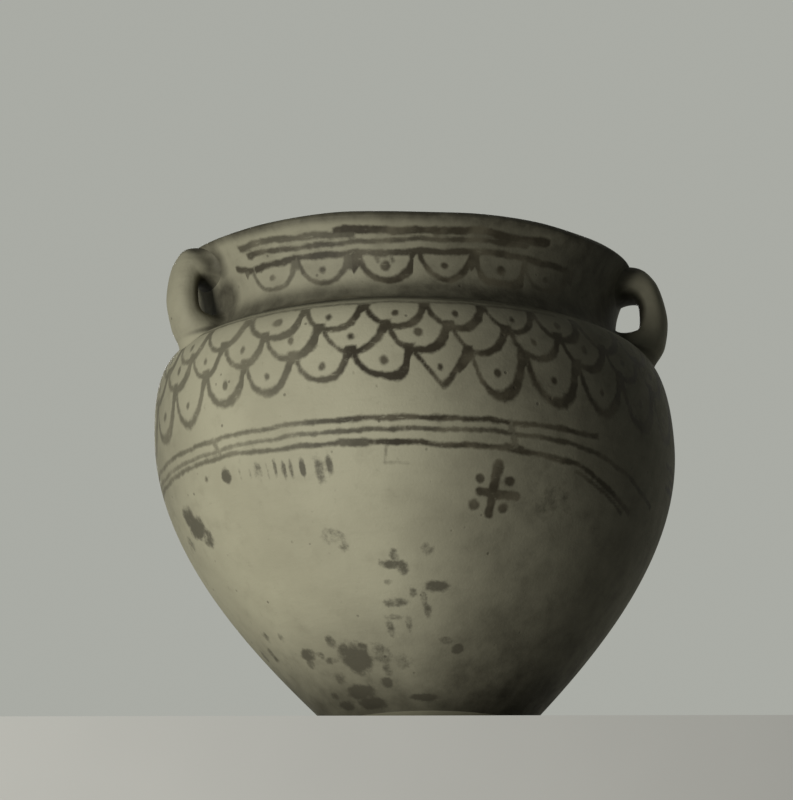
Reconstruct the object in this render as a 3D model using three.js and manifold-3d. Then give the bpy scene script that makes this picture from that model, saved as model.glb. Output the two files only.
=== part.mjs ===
// A hand-built painted pot: a deep round bowl with a drawn-in neck, a flared mouth and two strap handles.
// Units are millimetres, +Z is up, and the origin is the middle of the flat base.
// The potter's pieces stay separate: a base disc, six wall courses laid on each other as wide flattened
// coils, and two handles pressed on to the rim and the shoulder. The front of the pot faces -Y.
import * as THREE from "three";
import { mergeVertices } from "three/addons/utils/BufferGeometryUtils.js";
import Module from "manifold-3d";

// The outside, from the ground up
const BASE_RADIUS = 32;
const BELLY_RADIUS = 110;
const BELLY_HEIGHT = 128;
const NECK_RADIUS = 93;
const NECK_HEIGHT = 167;
const RIM_RADIUS = 99;
const RIM_HEIGHT = 201.2;

// How far the outside runs on in one direction before it bends to the next
const FOOT_SPREAD = 35;
const FOOT_RISE = 34;
const BELLY_RUN_BELOW = 48;
const BELLY_RUN_ABOVE = 31;
const SHOULDER_RUN_OUT = 9.5;
const SHOULDER_RUN_DOWN = 3;
const NECK_RUN_IN = 8;
const NECK_RUN_UP = 7;
const RIM_RUN_IN = 8;
const RIM_RUN_DOWN = 10;

// The wall, the base and the lip
const WALL = 6.5;
const BASE_THICKNESS = 9;
const LIP_WALL = 5;

// Where one course of clay ends and the next begins: the first two as shares of the height of the belly,
// the next two of the rise from the belly to the neck, and the last of the rise from the neck to the rim
const LOWER_JOINT_SHARE = 0.36;
const BELLY_JOINT_SHARE = 0.72;
const SHOULDER_JOINT_SHARE = 0.16;
const NECK_JOINT_SHARE = 0.92;
const RIM_JOINT_SHARE = 0.32;
const LAP = 5; // how much further up the wall each joint lies on the inside
const SLIP = 0.3; // the film of wet clay between two pieces

// The handles
const HANDLE_THICKNESS = 11;
const HANDLE_WIDTH = 18;
const HANDLE_SMEAR = 10; // extra width and thickness where an end is smeared on to the pot
const HANDLE_ROOT = 9; // how far the strap is carried in before it is cut to the wall
const HANDLE_FOOT_BELOW = 1; // how far below the neck the middle of the strap meets the shoulder
const HANDLE_ROUNDNESS = 0.75; // 1 is an oval section, less is squarer
const LEFT_STAND_OFF = 9.6; // how far each strap stands out past the lip
const RIGHT_STAND_OFF = 11.8;
const LEFT_TURN = -64; // degrees round from the front
const RIGHT_TURN = 81;

// The pot leans to -X going up, by this share of the height, and its mouth dips by this slope to +X
const LEAN = 0.054;
const DIP = 0.004;

// Fineness of the facets
const AROUND = 48;
const COURSE_STEPS = 5;
const STRAP_STEPS = 18;
const STRAP_SIDES = 14;

const CLAY = 0xa8a287;

const wasm = await Module();
wasm.setup();

// The outside as one curve from the edge of the base to the lip: x is a radius, y is a height.
const outside = new THREE.Path();
outside.moveTo(BASE_RADIUS, 0);
outside.bezierCurveTo(
  BASE_RADIUS + FOOT_SPREAD,
  FOOT_RISE,
  BELLY_RADIUS,
  BELLY_HEIGHT - BELLY_RUN_BELOW,
  BELLY_RADIUS,
  BELLY_HEIGHT,
);
outside.bezierCurveTo(
  BELLY_RADIUS,
  BELLY_HEIGHT + BELLY_RUN_ABOVE,
  NECK_RADIUS + SHOULDER_RUN_OUT,
  NECK_HEIGHT - SHOULDER_RUN_DOWN,
  NECK_RADIUS,
  NECK_HEIGHT,
);
outside.bezierCurveTo(
  NECK_RADIUS - NECK_RUN_IN,
  NECK_HEIGHT + NECK_RUN_UP,
  RIM_RADIUS - RIM_RUN_IN,
  RIM_HEIGHT - RIM_RUN_DOWN,
  RIM_RADIUS,
  RIM_HEIGHT,
);
const outsideLength = outside.getLength();
const slipShare = SLIP / outsideLength;
const lapShare = LAP / outsideLength;

// The share of the curve's length at which the outside reaches a height.
function shareAt(height) {
  let low = 0;
  let high = 1;
  for (let i = 0; i < 30; i += 1) {
    const middle = (low + high) / 2;
    if (outside.getPoint(middle).y < height) low = middle;
    else high = middle;
  }
  return (low + high) / 2;
}

// The heights of the joints, measured on the outside
const LOWER_JOINT = BELLY_HEIGHT * LOWER_JOINT_SHARE;
const BELLY_JOINT = BELLY_HEIGHT * BELLY_JOINT_SHARE;
const SHOULDER_JOINT = THREE.MathUtils.lerp(BELLY_HEIGHT, NECK_HEIGHT, SHOULDER_JOINT_SHARE);
const NECK_JOINT = THREE.MathUtils.lerp(BELLY_HEIGHT, NECK_HEIGHT, NECK_JOINT_SHARE);
const RIM_JOINT = THREE.MathUtils.lerp(NECK_HEIGHT, RIM_HEIGHT, RIM_JOINT_SHARE);

// The wall thins evenly from the neck joint to the lip.
const thinningFrom = shareAt(NECK_JOINT);
function wallAt(share) {
  const along = THREE.MathUtils.clamp((share - thinningFrom) / (1 - thinningFrom), 0, 1);
  return THREE.MathUtils.lerp(WALL, LIP_WALL, along);
}

// A point set in from the outside, square to it. A negative depth stands off it.
function inset(share, depth) {
  const point = outside.getPoint(share);
  const along = outside.getTangent(share);
  return new THREE.Vector2(point.x - along.y * depth, point.y + along.x * depth);
}

// Evenly spaced shares of the curve, both ends included.
function spread(from, to, steps) {
  return Array.from({ length: steps + 1 }, (_, i) => THREE.MathUtils.lerp(from, to, i / steps));
}

// Turns an outline of (radius, height) points about +Z.
function turned(outline) {
  return new THREE.LatheGeometry(outline, AROUND).rotateX(Math.PI / 2);
}

// The shares at which a course starts and ends on the outside. The last course ends under its lip.
const footEnds = [shareAt(BASE_THICKNESS + SLIP), shareAt(LOWER_JOINT)];
const lowerEnds = [shareAt(LOWER_JOINT) + slipShare, shareAt(BELLY_JOINT)];
const bellyEnds = [shareAt(BELLY_JOINT) + slipShare, shareAt(SHOULDER_JOINT)];
const shoulderEnds = [shareAt(SHOULDER_JOINT) + slipShare, shareAt(NECK_JOINT)];
const neckEnds = [shareAt(NECK_JOINT) + slipShare, shareAt(RIM_JOINT)];
const rimEnds = [shareAt(RIM_JOINT) + slipShare, shareAt(RIM_HEIGHT - LIP_WALL / 4)];

// Both sides of a course, listed upwards. Each joint lies higher on the inside by the lap.
function sidesOf([from, to], steps, topLap) {
  const outer = spread(from, to, steps).map((share) => outside.getPoint(share));
  const inner = spread(from + lapShare, to + topLap, steps).map((share) => inset(share, wallAt(share)));
  return { outer, inner };
}

// The closed outline of a course: up the outside, over the crown and down the inside.
function outlineOf({ outer, inner }, crown = []) {
  return [...outer, ...crown, ...inner.toReversed(), outer[0].clone()];
}

// A course between two lapped joints.
function wallCourse(ends) {
  return turned(outlineOf(sidesOf(ends, COURSE_STEPS, lapShare)));
}

// The disc that the pot stands on. Its edge follows the outside of the pot.
function baseDisc() {
  return turned([
    new THREE.Vector2(0, 0),
    new THREE.Vector2(BASE_RADIUS, 0),
    outside.getPoint(shareAt(BASE_THICKNESS / 2)),
    outside.getPoint(shareAt(BASE_THICKNESS)),
    new THREE.Vector2(0, BASE_THICKNESS),
  ]);
}

// The first course stands on the disc, so its lower face is level.
function footCourse() {
  const sides = sidesOf(footEnds, COURSE_STEPS, lapShare);
  const heel = sides.outer[0];
  const levelWall = WALL / outside.getTangent(footEnds[0]).y;
  sides.inner[0] = new THREE.Vector2(heel.x - levelWall, heel.y);
  return turned(outlineOf(sides));
}

// A low round over the top of the wall, from the outside to the inside.
function lipCrown(outerEnd, innerEnd) {
  const middle = outerEnd.clone().lerp(innerEnd, 0.5);
  const inward = innerEnd.clone().sub(middle);
  const upward = new THREE.Vector2(inward.y, -inward.x);
  return [0.25, 0.5, 0.75].map((turn) => {
    const point = middle.clone().addScaledVector(inward, -Math.cos(turn * Math.PI));
    return point.addScaledVector(upward, Math.sin(turn * Math.PI) / 2);
  });
}

// The last course ends in the rounded lip.
function rimCourse() {
  const sides = sidesOf(rimEnds, COURSE_STEPS, 0);
  return turned(outlineOf(sides, lipCrown(sides.outer.at(-1), sides.inner.at(-1))));
}

// Turns a closed geometry into a solid that can be cut.
function solidOf(geometry) {
  geometry.deleteAttribute("normal");
  geometry.deleteAttribute("uv");
  const merged = mergeVertices(geometry, 1e-3);
  const numProp = merged.attributes.position.itemSize;
  const vertProperties = new Float32Array(merged.attributes.position.array);
  const triVerts = new Uint32Array(merged.index.array);
  return new wasm.Manifold(new wasm.Mesh({ numProp, vertProperties, triVerts }));
}

// Turns a solid back into a geometry.
function geometryOf(solid) {
  const mesh = solid.getMesh();
  const geometry = new THREE.BufferGeometry();
  geometry.setAttribute("position", new THREE.BufferAttribute(mesh.vertProperties, mesh.numProp));
  geometry.setIndex(new THREE.BufferAttribute(mesh.triVerts, 1));
  return geometry;
}

// What the handles stay clear of: the outside of the upper courses grown by the slip, filled to the axis.
function wallEnvelope() {
  const shares = [
    ...spread(...bellyEnds, COURSE_STEPS),
    ...spread(...shoulderEnds, COURSE_STEPS),
    ...spread(...neckEnds, COURSE_STEPS),
    ...spread(...rimEnds, COURSE_STEPS),
  ];
  const skin = shares.map((share) => inset(share, -SLIP));
  const above = RIM_HEIGHT + HANDLE_WIDTH + HANDLE_SMEAR;
  const brim = new THREE.Vector2(RIM_RADIUS + SLIP, above);
  return solidOf(turned([new THREE.Vector2(0, skin[0].y), ...skin, brim, new THREE.Vector2(0, above)]));
}

// The middle line of a strap in the X-Z plane: out from the lip, down, and back in to the shoulder.
function strapLine(standOff) {
  const half = HANDLE_THICKNESS / 2;
  const out = RIM_RADIUS + standOff - half;
  const top = RIM_HEIGHT - half;
  const foot = NECK_HEIGHT - HANDLE_FOOT_BELOW;
  const drop = top - foot;
  const points = [
    [RIM_RADIUS - HANDLE_ROOT, top],
    [RIM_RADIUS, top],
    [out, top - drop * 0.35],
    [out - half / 4, top - drop * 0.62],
    [NECK_RADIUS + half, foot + half / 2],
    [NECK_RADIUS + half - HANDLE_ROOT, foot - half],
  ];
  return new THREE.CatmullRomCurve3(points.map(([x, z]) => new THREE.Vector3(x, 0, z)));
}

// A cosine or sine drawn towards the corners of a rounded oblong.
function rounded(value) {
  return Math.sign(value) * Math.abs(value) ** HANDLE_ROUNDNESS;
}

// One ring of the strap's section. It grows towards the two ends.
function strapRing(line, t) {
  const across = new THREE.Vector3(0, 1, 0);
  const through = line.getTangentAt(t).cross(across);
  const smear = HANDLE_SMEAR * (2 * t - 1) ** 4;
  const halfWidth = (HANDLE_WIDTH + smear) / 2;
  const half = (HANDLE_THICKNESS + smear) / 2;
  return spread(0, 2 * Math.PI, STRAP_SIDES)
    .slice(1)
    .map((turn) => {
      const point = line.getPointAt(t).addScaledVector(across, rounded(Math.cos(turn)) * halfWidth);
      return point.addScaledVector(through, rounded(Math.sin(turn)) * half);
    });
}

// The strap as a closed skin over its rings.
function strap(standOff) {
  const line = strapLine(standOff);
  const points = spread(0, 1, STRAP_STEPS).flatMap((t) => strapRing(line, t));
  const faces = [];
  const last = STRAP_STEPS * STRAP_SIDES;
  for (let ring = 0; ring < last; ring += STRAP_SIDES) {
    for (let k = 0; k < STRAP_SIDES; k += 1) {
      const a = ring + k;
      const b = ring + ((k + 1) % STRAP_SIDES);
      faces.push(a, b, a + STRAP_SIDES, b, b + STRAP_SIDES, a + STRAP_SIDES);
    }
  }
  for (let k = 1; k < STRAP_SIDES - 1; k += 1) {
    faces.push(0, k + 1, k, last, last + k, last + k + 1);
  }
  return new THREE.BufferGeometry().setFromPoints(points).setIndex(faces);
}

// A handle is its strap turned to its place round the pot and cut back to the outside of the wall.
function handle(standOff, degreesFromFront, envelope) {
  const turn = THREE.MathUtils.degToRad(degreesFromFront - 90);
  const cut = solidOf(strap(standOff).rotateZ(turn)).subtract(envelope);
  const [body] = cut.decompose().sort((a, b) => b.volume() - a.volume());
  return geometryOf(body);
}

const pot = new THREE.Group();

// Leans and dips every point the way the finished pot stands. The flat base keeps its place.
function settle(geometry) {
  const place = geometry.getAttribute("position");
  for (let i = 0; i < place.count; i += 1) {
    const x = place.getX(i);
    const z = place.getZ(i);
    place.setX(i, x - LEAN * z);
    place.setZ(i, z - DIP * x * (z / RIM_HEIGHT) ** 2);
  }
  geometry.computeVertexNormals();
}

// Puts one piece into the pot under its own name.
function add(name, geometry, roughness) {
  settle(geometry);
  const material = new THREE.MeshStandardMaterial({ color: CLAY, roughness, metalness: 0 });
  const mesh = new THREE.Mesh(geometry, material);
  mesh.name = name;
  pot.add(mesh);
}

const envelope = wallEnvelope();
add("base_disc", baseDisc(), 0.8);
add("foot_course", footCourse(), 0.8);
add("lower_wall_course", wallCourse(lowerEnds), 0.75);
add("belly_course", wallCourse(bellyEnds), 0.7);
add("shoulder_course", wallCourse(shoulderEnds), 0.7);
add("neck_course", wallCourse(neckEnds), 0.7);
add("rim_course", rimCourse(), 0.7);
add("left_handle", handle(LEFT_STAND_OFF, LEFT_TURN, envelope), 0.72);
add("right_handle", handle(RIGHT_STAND_OFF, RIGHT_TURN, envelope), 0.72);

export default pot;
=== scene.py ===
"""A hand-built painted pot with two strap handles, standing on the front edge of a pale shelf."""
import math

import bpy
import numpy as np
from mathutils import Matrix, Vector

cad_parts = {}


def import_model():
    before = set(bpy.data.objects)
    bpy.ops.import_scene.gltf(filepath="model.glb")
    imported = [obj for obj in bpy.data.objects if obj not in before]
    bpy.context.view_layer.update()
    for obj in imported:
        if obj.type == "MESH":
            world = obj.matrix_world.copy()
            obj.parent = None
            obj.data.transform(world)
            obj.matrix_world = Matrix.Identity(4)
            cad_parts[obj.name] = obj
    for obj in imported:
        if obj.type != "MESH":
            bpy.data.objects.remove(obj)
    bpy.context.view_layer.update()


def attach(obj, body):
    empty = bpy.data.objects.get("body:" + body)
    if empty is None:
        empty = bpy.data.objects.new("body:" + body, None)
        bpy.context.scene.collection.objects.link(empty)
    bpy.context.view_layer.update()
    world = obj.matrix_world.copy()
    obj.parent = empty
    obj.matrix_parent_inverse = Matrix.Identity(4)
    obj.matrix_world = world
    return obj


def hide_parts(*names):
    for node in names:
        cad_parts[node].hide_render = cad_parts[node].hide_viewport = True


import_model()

# Real sizes in millimetres and turns in degrees, the same as the solid model's
MM = 0.001
BASE_RADIUS, BELLY_RADIUS, BELLY_HEIGHT = 32.0, 110.0, 128.0
NECK_RADIUS, NECK_HEIGHT, RIM_RADIUS, RIM_HEIGHT = 93.0, 167.0, 99.0, 201.2
FOOT_RUN = (35.0, 34.0)
BELLY_RUN_BELOW, BELLY_RUN_ABOVE = 48.0, 31.0
SHOULDER_RUN, NECK_RUN, RIM_RUN = (9.5, 3.0), (8.0, 7.0), (8.0, 10.0)
WALL, BASE_THICKNESS, LIP_WALL, LAP = 6.5, 9.0, 5.0, 5.0
LOWER_JOINT, BELLY_JOINT = 0.36 * BELLY_HEIGHT, 0.72 * BELLY_HEIGHT
SHOULDER_JOINT = BELLY_HEIGHT + 0.16 * (NECK_HEIGHT - BELLY_HEIGHT)
NECK_JOINT = BELLY_HEIGHT + 0.92 * (NECK_HEIGHT - BELLY_HEIGHT)
RIM_JOINT = NECK_HEIGHT + 0.32 * (RIM_HEIGHT - NECK_HEIGHT)
LEAN, DIP = 0.054, 0.004
HANDLE_THICKNESS, HANDLE_WIDTH = 11.0, 18.0
LEFT_STAND_OFF, LEFT_TURN = 9.6, -64.0
RIGHT_STAND_OFF, RIGHT_TURN = 11.8, 81.0

# The ovals that a strap's ends are smeared into: the height of each one's middle, how much wider than the
# strap it is to each side, and how far it reaches along the wall. The first is on the rim.
TOP_ROOT, FOOT_ROOT = (192.5, 6.0, 9.4, 7.5), (166.0, 6.5, -12.0, -14.0)
# A small oval inside each, from which the smeared end spreads: half its width and its reach along the wall
TOP_CORE, FOOT_CORE = (3.0, 1.5, 1.5), (3.0, -3.0, -3.0)
# The strap's sections from the top down: how far the inner edge stands in from the strap's and its height,
# the same for the outer edge, and how much wider the section is to each side
STRAP_SECTIONS = (
    (-1.2, 188.2, -3.2, 196.6, 0.8),
    (0.0, 181.6, 0.5, 181.6, 0.0),
    (-1.6, 175.2, -1.4, 168.8, 0.8),
)
# Where the two ovals and the three sections lie along the strap, as shares of its length
STRAP_KNOTS = (0.0, 0.3, 0.5, 0.7, 1.0)
# How fast the strap spreads from its cores, and how fast it leaves the rim outward and upward
TOP_SPREAD, FOOT_SPREAD, TOP_OUTWARD, TOP_UPWARD = 3.4, 3.0, 46.0, 7.0
# How far under the surface the ovals lie, and how deep in the wall the strap's closed ends reach
OVAL_DEPTH, CAP_DEPTH = 0.2, 3.0
# Points round a strap, the share of it that each end takes, and the rings over an end and over the middle
STRAP_SIDES, END_SHARE, END_RINGS, MIDDLE_RINGS = 96, 0.34, 40, 24

# Hand-built unevenness. Each wave has its height, its count round the pot, its start and its climb.
WALL_WAVES = ((0.42, 2, 0.9, 70.0), (0.30, 3, -1.7, -44.0), (0.28, 5, 0.0, 31.0))
# How strong the waves are, and how far they are shifted to stay within the solid wall
UNEVEN, OUTSIDE_SHIFT, INSIDE_SHIFT = 0.45, -1.1, 1.0
# Finger dents inside: how deep, how many round the pot, how far up each climbs, and how far and how fast
# each direction bends
DENTS, DENTS_AROUND, DENT_CLIMB, ROUND_BEND, UP_BEND = 0.8, 17, 5.2, (5, 17.0), (2, 3)
# Up to which height the foot evens out
EVEN_FOOT = 12.0
LIP_SAG, LIP_WAVES, LIP_START = 0.6, 7, 2.69
# How far the handles lift the lip, at which turns, and how wide in radians
LIP_LIFT, LIFTED_TURNS, LIFT_SPREAD = 3.0, (-58.0, 74.0), 0.42
# The height past which the lip is flattened, and over how many millimetres that starts
TOP_HEIGHT, SOFTNESS = 203.1, 0.4

# How finely the surfaces are drawn
COLUMNS = 768
OUTSIDE_STEP, INSIDE_STEP, LIP_ROWS = 0.85, 2.2, 10
LOWER_POINTS, UPPER_POINTS = 700, 400


def bezier(points, count):
    """A cubic curve: the four points weighted by the cubic Bernstein polynomials of t."""
    t = np.linspace(0.0, 1.0, count)[:, None]
    weights = ((1 - t) ** 3, 3 * (1 - t) ** 2 * t, 3 * (1 - t) * t**2, t**3)
    return sum(w * np.array(p) for w, p in zip(weights, points))


def outside_curve():
    """The outside from the edge of the base to the lip, as rows of (radius, height)."""
    lower = [
        (BASE_RADIUS, 0.0),
        (BASE_RADIUS + FOOT_RUN[0], FOOT_RUN[1]),
        (BELLY_RADIUS, BELLY_HEIGHT - BELLY_RUN_BELOW),
        (BELLY_RADIUS, BELLY_HEIGHT),
    ]
    shoulder = [
        (BELLY_RADIUS, BELLY_HEIGHT),
        (BELLY_RADIUS, BELLY_HEIGHT + BELLY_RUN_ABOVE),
        (NECK_RADIUS + SHOULDER_RUN[0], NECK_HEIGHT - SHOULDER_RUN[1]),
        (NECK_RADIUS, NECK_HEIGHT),
    ]
    neck = [
        (NECK_RADIUS, NECK_HEIGHT),
        (NECK_RADIUS - NECK_RUN[0], NECK_HEIGHT + NECK_RUN[1]),
        (RIM_RADIUS - RIM_RUN[0], RIM_HEIGHT - RIM_RUN[1]),
        (RIM_RADIUS, RIM_HEIGHT),
    ]
    upper = [bezier(points, UPPER_POINTS)[1:] for points in (shoulder, neck)]
    return np.vstack([bezier(lower, LOWER_POINTS), *upper])


CURVE = outside_curve()
ARC = np.concatenate([[0.0], np.cumsum(np.linalg.norm(np.diff(CURVE, axis=0), axis=1))])
LENGTH = float(ARC[-1])


def arc_at(height):
    """How far up the outside a height lies, measured along the wall."""
    return float(np.interp(height, CURVE[:, 1], ARC))


def thickness(arc):
    """The wall's thickness: even up to the neck joint, then thinning evenly to the lip."""
    start = arc_at(NECK_JOINT)
    share = np.clip((arc - start) / (LENGTH - start), 0.0, 1.0)
    return WALL + (LIP_WALL - WALL) * share


def profile(arc, depth):
    """Radius and height of a point set in square to the outside by the depth."""
    nudge = 0.6
    radius, height = (np.interp(arc, ARC, CURVE[:, i]) for i in (0, 1))
    ahead = [np.interp(arc + nudge, ARC, CURVE[:, i]) for i in (0, 1)]
    behind = [np.interp(arc - nudge, ARC, CURVE[:, i]) for i in (0, 1)]
    run, rise = ahead[0] - behind[0], ahead[1] - behind[1]
    size = np.hypot(run, rise)
    return radius - depth * rise / size, height + depth * run / size


def unevenness(turn, arc, inside):
    """How far the hand-built wall strays outward: cosine waves round the pot and up it. Inside there are also
    finger dents, the product of a cosine round the pot and a cosine up it, each bent by the other's sine."""
    waves = sum(high * np.cos(count * turn + start + arc / climb) for high, count, start, climb in WALL_WAVES)
    if not inside:
        return UNEVEN * (waves + OUTSIDE_SHIFT)
    around = DENTS_AROUND * turn + ROUND_BEND[0] * np.sin(arc / ROUND_BEND[1])
    upward = arc / DENT_CLIMB + UP_BEND[0] * np.sin(UP_BEND[1] * turn)
    dents = np.cos(around) * np.cos(upward)
    return UNEVEN * (waves + INSIDE_SHIFT + DENTS * dents)


def lip_sag(turn, height):
    """How far the uneven lip hangs low: cosine waves, less a bell, e^(-distance squared), at each handle.
    It grows from the neck to the lip as the cube of the height's share."""
    share = np.clip((height - NECK_HEIGHT) / (RIM_HEIGHT - NECK_HEIGHT), 0.0, 1.0)
    waves = LIP_SAG * (1.0 - np.cos(LIP_WAVES * turn + LIP_START))
    lift = sum(np.exp(-(((turn - math.radians(at)) / LIFT_SPREAD) ** 2)) for at in LIFTED_TURNS)
    return share**3 * (waves - LIP_LIFT * lift)


def settle(x, y, z):
    """Leans and dips points the way the finished pot stands, softly flattens what rises past the top height
    by the logarithm of 1 + e^room, and turns millimetres into metres."""
    dipped = z - DIP * x * (z / RIM_HEIGHT) ** 2
    flattened = TOP_HEIGHT - SOFTNESS * np.logaddexp(0.0, (TOP_HEIGHT - dipped) / SOFTNESS)
    return np.stack([x - LEAN * z, y, flattened], axis=-1) * MM


def place(turn, radius, height):
    """A point from its turn round the pot, its radius and its height. Turn 0 is the front."""
    sunk = height - lip_sag(turn, height)
    return settle(radius * np.sin(turn), -radius * np.cos(turn), sunk)


def skin(turn, arc, inside):
    """A point of the wall's outside or inside: the profile turned round the axis, plus its unevenness, which
    fades out towards the base."""
    stray = unevenness(turn, arc, inside)
    depth = thickness(arc) * inside
    radius, height = profile(arc, depth)
    fade = np.clip(height / EVEN_FOOT, 0.0, 1.0)
    return place(turn, radius + fade * stray, height)


def cross_normals(along, around):
    """Unit normals of a surface from its two tangents."""
    normal = np.cross(around, along)
    return normal / np.linalg.norm(normal, axis=-1, keepdims=True)


def loop_normals(grid):
    """Normals of a surface that closes in both directions, from its neighbours' differences."""
    along = np.roll(grid, -1, axis=0) - np.roll(grid, 1, axis=0)
    around = np.roll(grid, -1, axis=1) - np.roll(grid, 1, axis=1)
    return cross_normals(along, around)


def skin_normals(turn, arc, inside):
    """Normals of one ring of the wall, as if the wall went on past the piece's end."""
    nudge, twist = 0.4, 0.003
    along = skin(turn, arc + nudge, inside) - skin(turn, arc - nudge, inside)
    around = skin(turn + twist, arc, inside) - skin(turn - twist, arc, inside)
    normal = cross_normals(along, around)
    return -normal if inside else normal


# The painter's brushwork. Turns are degrees round from the front, levels are millimetres up the wall, and
# each function says how far outside the paint a point lies, in millimetres, below 0 where it is painted.
BARE = 9.0
SCALES_AROUND = 28
PITCH = 360.0 / SCALES_AROUND
# Each row of scales: the level of its corners, its depth, its offset and the level of its dots
SCALE_ROWS = ((187.8, 11.8, -3.8, 182.2), (178.0, 12.1, 1.1, 173.0), (167.6, 12.2, -5.9, 161.5))
# How far single scales were set off their place by hand, in degrees, at their turns
SCALE_DRIFTS = (
    (
        (-90, 0), (-42.4, -3.4), (-29.5, -0.4), (-16.7, -0.5), (-3.8, 1.1),
        (9.1, 0.8), (21.9, 1.0), (34.8, -0.8), (90, 0),
    ),
    (
        (-90, 0), (-63, 1.7), (-50, 0.4), (-37.5, -1.1), (-24.6, -1.8),
        (-11.8, -0.4), (1.1, 0.6), (26.8, 0.4), (90, 0),
    ),
    (
        (-90, 0), (-70, 1.1), (-57, 1.3), (-44.5, 1.4), (-31.6, -0.3),
        (-5.9, -0.1), (7, -1.0), (19.8, -2.2), (90, 0),
    ),
)
# The last row's scales differ most: the level of their bottoms at their turns, and how far down them their
# dots are
LAST_ROW_BOTTOM = (
    (-75, 148.5), (-56, 148.4), (-43, 152.6), (-31, 152.6), (-18, 155.6),
    (-6, 155.6), (7, 151.2), (17, 148.7), (44, 148.3),
)
LAST_ROW_DOTS = 0.55
# One of them is pointed: its turn, how near to it the shape changes, and the power of its arc and of the
# others
POINTED_TURN, POINTED_REACH, POINTED_POWER, ROUND_POWER = 6.5, (4.0, 8.0), 1.35, 2.0
# Half a scale's line, how much it swells on the right, half its dot's width, and the dot's width as a share
# of its height
SCALE_HALF_LINE, SCALE_SWELL, SCALE_DOT, DOT_SHARE = 0.8, 0.72, 1.25, 0.85
# How fast the sine that makes the scales differ runs from one to the next, and how much it changes a scale's
# power, half line and swell, and its dot's place, level and size
UNEVEN_STEP, UNEVEN_POWER, UNEVEN_HALF, UNEVEN_SWELL = 2.4, 0.12, 0.08, 0.16
UNEVEN_PLACE, UNEVEN_LEVEL, UNEVEN_DOT = 0.04, 0.5, 0.25
# The paint in a scale's corners: how far from its middle it starts, how far down it reaches, and how that
# changes towards the corner on the right and on the left
CORNER_START, CORNER_SHARE, CORNER_RIGHT, CORNER_LEFT = 0.62, 0.36, 0.9, 1.1
# Where the painter left out a dot, and how near to there a dot has to lie
TURNS_WITHOUT_DOT, WITHOUT_DOT_REACH = (-45.8, 14.0), 3.0
# The rim's painting has its middle here, and the back repeats it
RIM_CENTRE = 8.5
SCALLOP_PITCH, SCALLOP_START = 15.35, -36.6
SCALLOP_DOT_LEVEL = 215.6
# Each half disc from the left: its drift, bottom, roundness, half line, dot, corner depth on its right and
# darkness
SCALLOPS = (
    (-0.5, 211.0, 2.0, 0.75, 1.0, 4.5, 0.7),
    (-0.65, 210.4, 2.1, 0.8, 1.1, 6.6, 0.85),
    (1.0, 209.5, 2.2, 1.1, 1.9, 1.5, 1.0),
    (1.05, 209.5, 1.6, 0.95, 1.2, 6.5, 1.0),
    (1.0, 210.2, 3.0, 1.1, 1.8, 6.0, 0.95),
    (-0.35, 211.2, 2.4, 0.75, 1.1, 4.0, 0.6),
)
# Long strokes round the pot: half width, darkness, and their places as turn and level. Those that close
# behind the pot run a little past half a turn. The row of half discs hangs from the first of the rim's.
RIM_STROKES = (
    (
        1.15, 0.95, (-43, 220.9), (-34, 221.0), (-28, 221.6), (-17, 220.9), (-1, 220.6), (11.5, 221.5),
        (25, 222.6), (47, 221.4),
    ),
    (1.15, 0.8, (-46, 230.4), (-35, 230.5), (-25, 229.4), (-12, 228.3)),
    (1.5, 1.0, (-17.5, 230.2), (-14.6, 230.9), (-1, 229.6), (19, 230.9), (30, 229.4), (37, 230.3)),
    (0.9, 0.9, (-42, 226.8), (-27, 225.5), (-16, 225.1), (-1, 225.8), (19, 227.0), (33, 227.2)),
)
NECK_STROKES = (
    (0.55, 0.6, (-60, 189.8), (-30, 189.4), (0, 189.2), (35, 189.0)),
    (0.5, 0.6, (-40, 201.3), (-28, 201.3), (-14, 201.6), (-8, 199.0), (-2, 194.9), (10, 192.1), (22, 191.7)),
    (0.55, 0.6, (-182, 189.4), (-100, 190.0)),
    (0.55, 0.6, (100, 190.0), (182, 189.4)),
)
BAND_STROKES = (
    (0.9, 1.0, (-182, 138.5), (-60, 138.6), (0, 138.5), (43, 138.0)),
    (0.75, 0.9, (-182, 134.4), (-40, 134.1), (21, 134.0), (35, 133.0), (44, 131.0), (52, 127.0), (68, 117.8)),
    (
        0.95, 1.0, (-182, 130.5), (-46, 131.5), (-31, 129.7), (-9, 129.3), (7, 128.0), (21, 127.7),
        (36, 125.6), (41, 123.4), (48, 118.7), (58, 111.5),
    ),
    (0.6, 0.8, (37, 122.4), (47, 116.9), (55, 110.4)),
    (0.9, 1.0, (73, 138.4), (182, 138.5)),
    (0.75, 0.9, (78, 134.0), (182, 134.4)),
    (0.95, 1.0, (75, 130.2), (182, 130.5)),
)
# How dark the body's paint is round the pot, and how much of its strokes' width fades with it
BODY_DARKNESS = ((-180, 0.8), (-120, 0.6), (-75, 0.6), (-30, 0.72), (-12, 1.0), (120, 1.0), (180, 0.8))
WIDTH_FADING = 0.7
# How the brush wanders round the pot, up and down, and presses: size, waves round the pot and start
TURN_SWAY, LEVEL_SWAY, PRESS_SWAY = (0.35, 23, 1.0), (0.45, 19, 4.0), (0.22, 31, 7.0)
# The three sines that each is made of: how many times those waves and how many more, how far up they climb,
# and how many times that start
SWAY_SINES = ((1, 0, 9.0, 1.0), (1, 7, -12.0, 2.3), (2, 3, 6.0, 5.1))
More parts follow.
